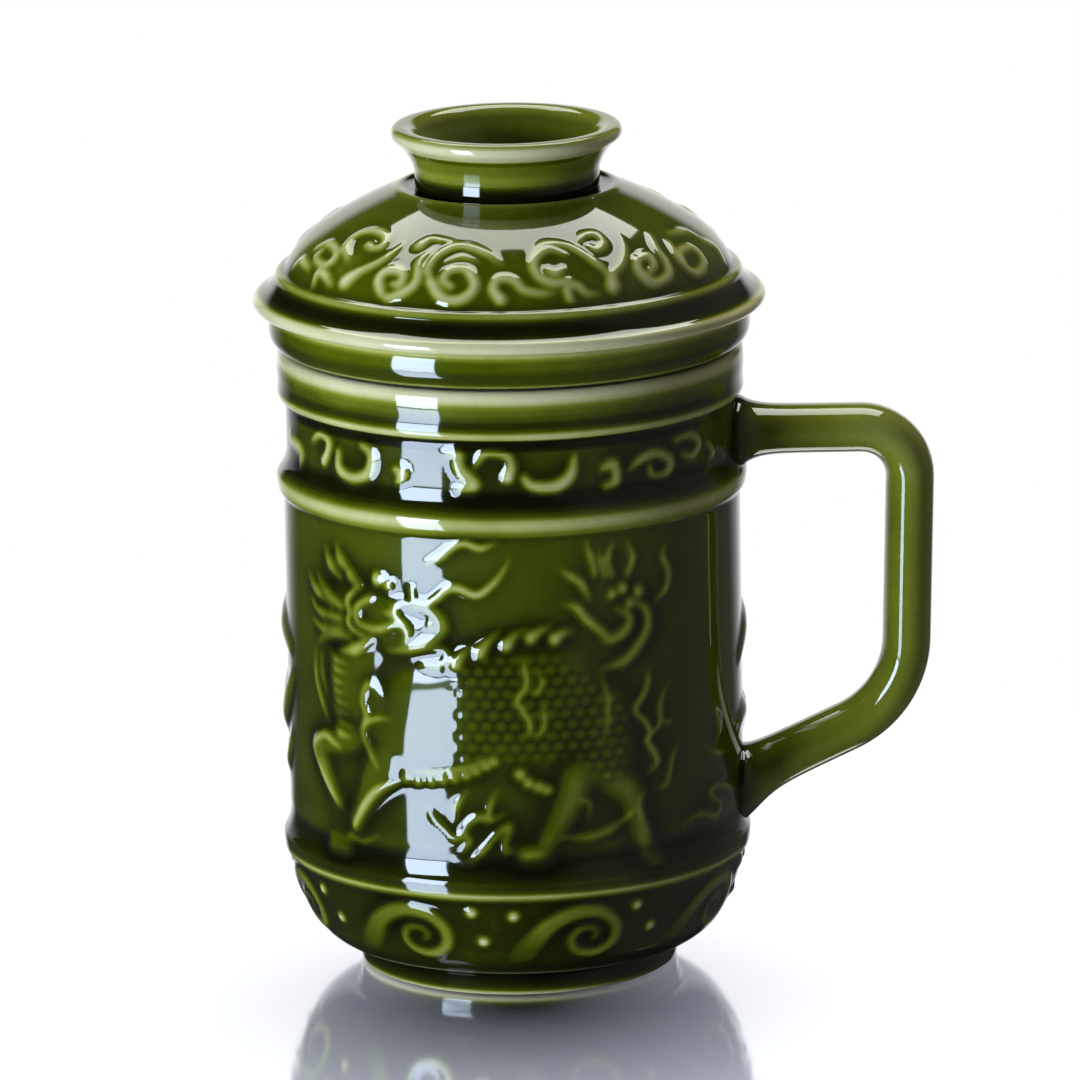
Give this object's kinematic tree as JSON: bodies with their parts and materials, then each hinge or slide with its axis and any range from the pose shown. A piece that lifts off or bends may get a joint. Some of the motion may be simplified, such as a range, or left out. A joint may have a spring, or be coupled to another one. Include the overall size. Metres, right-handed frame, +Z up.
{
  "type": "lidded tea mug with infuser",
  "caption": "Straight-sided handled tea mug with a foot ring, a perforated infuser that hangs from its lip and a domed lid with an open ring knob.",
  "frame": {"origin": "centre of the foot ring, on the surface that the mug stands on", "axes": "+Z up along the mug's axis, +X from the axis towards the handle, +Y across the handle"},
  "size_m": [0.1171, 0.0882, 0.1475],
  "materials": {
    "green_glaze": "glossy",
    "pale_glaze": "glossy"
  },
  "bodies": {
    "mug": {"mug_body": "green_glaze", "mug_handle": "green_glaze"},
    "infuser": {"infuser_collar": "green_glaze", "infuser_basket": "pale_glaze", "infuser_strainer": "pale_glaze"},
    "lid": {"lid_dome": "green_glaze", "lid_locating_ring": "pale_glaze", "lid_knob": "green_glaze"}
  },
  "joints": [
    {"name": "infuser_lift", "type": "slide", "parent": "mug", "child": "infuser", "axis": [0, 0, 1], "range_m": [0, 0.12]},
    {"name": "lid_lift", "type": "slide", "parent": "infuser", "child": "lid", "axis": [0, 0, 1], "range_m": [0, 0.08]}
  ]
}
